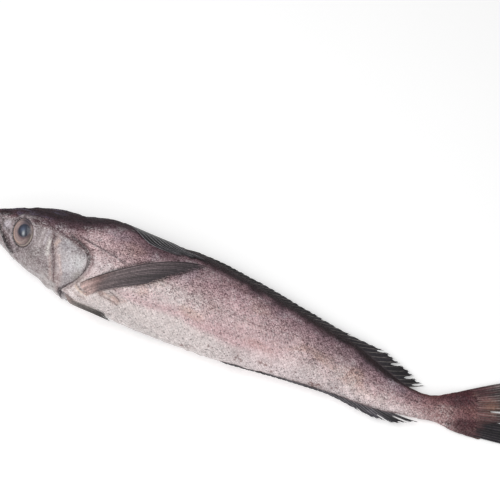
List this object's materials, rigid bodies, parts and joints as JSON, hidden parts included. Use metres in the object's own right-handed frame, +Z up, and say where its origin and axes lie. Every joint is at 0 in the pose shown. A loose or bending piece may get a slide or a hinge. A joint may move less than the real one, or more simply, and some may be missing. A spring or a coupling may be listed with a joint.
{
  "type": "whole hake",
  "caption": "Whole raw hake lying on its right side: long head, large eye, gill covers, folded fins along back and belly, and a fanned tail. Rests flat on its flank.",
  "frame": {"origin": "on the surface the fish lies on, under the middle of its bounding box", "axes": "+X from the snout to the tail, +Y towards the back, +Z up through the left flank"},
  "size_m": [0.5054, 0.1, 0.0528],
  "materials": {
    "skin": "wet scaly skin, pinkish grey flank, dark speckled back, whitish belly, dark grey fins",
    "eye": "clear wet cornea over a clouded blue-grey pupil and a pinkish gold iris"
  },
  "bodies": {
    "root": {"hake": "skin", "eye_left": "eye", "eye_right": "eye"}
  },
  "joints": []
}
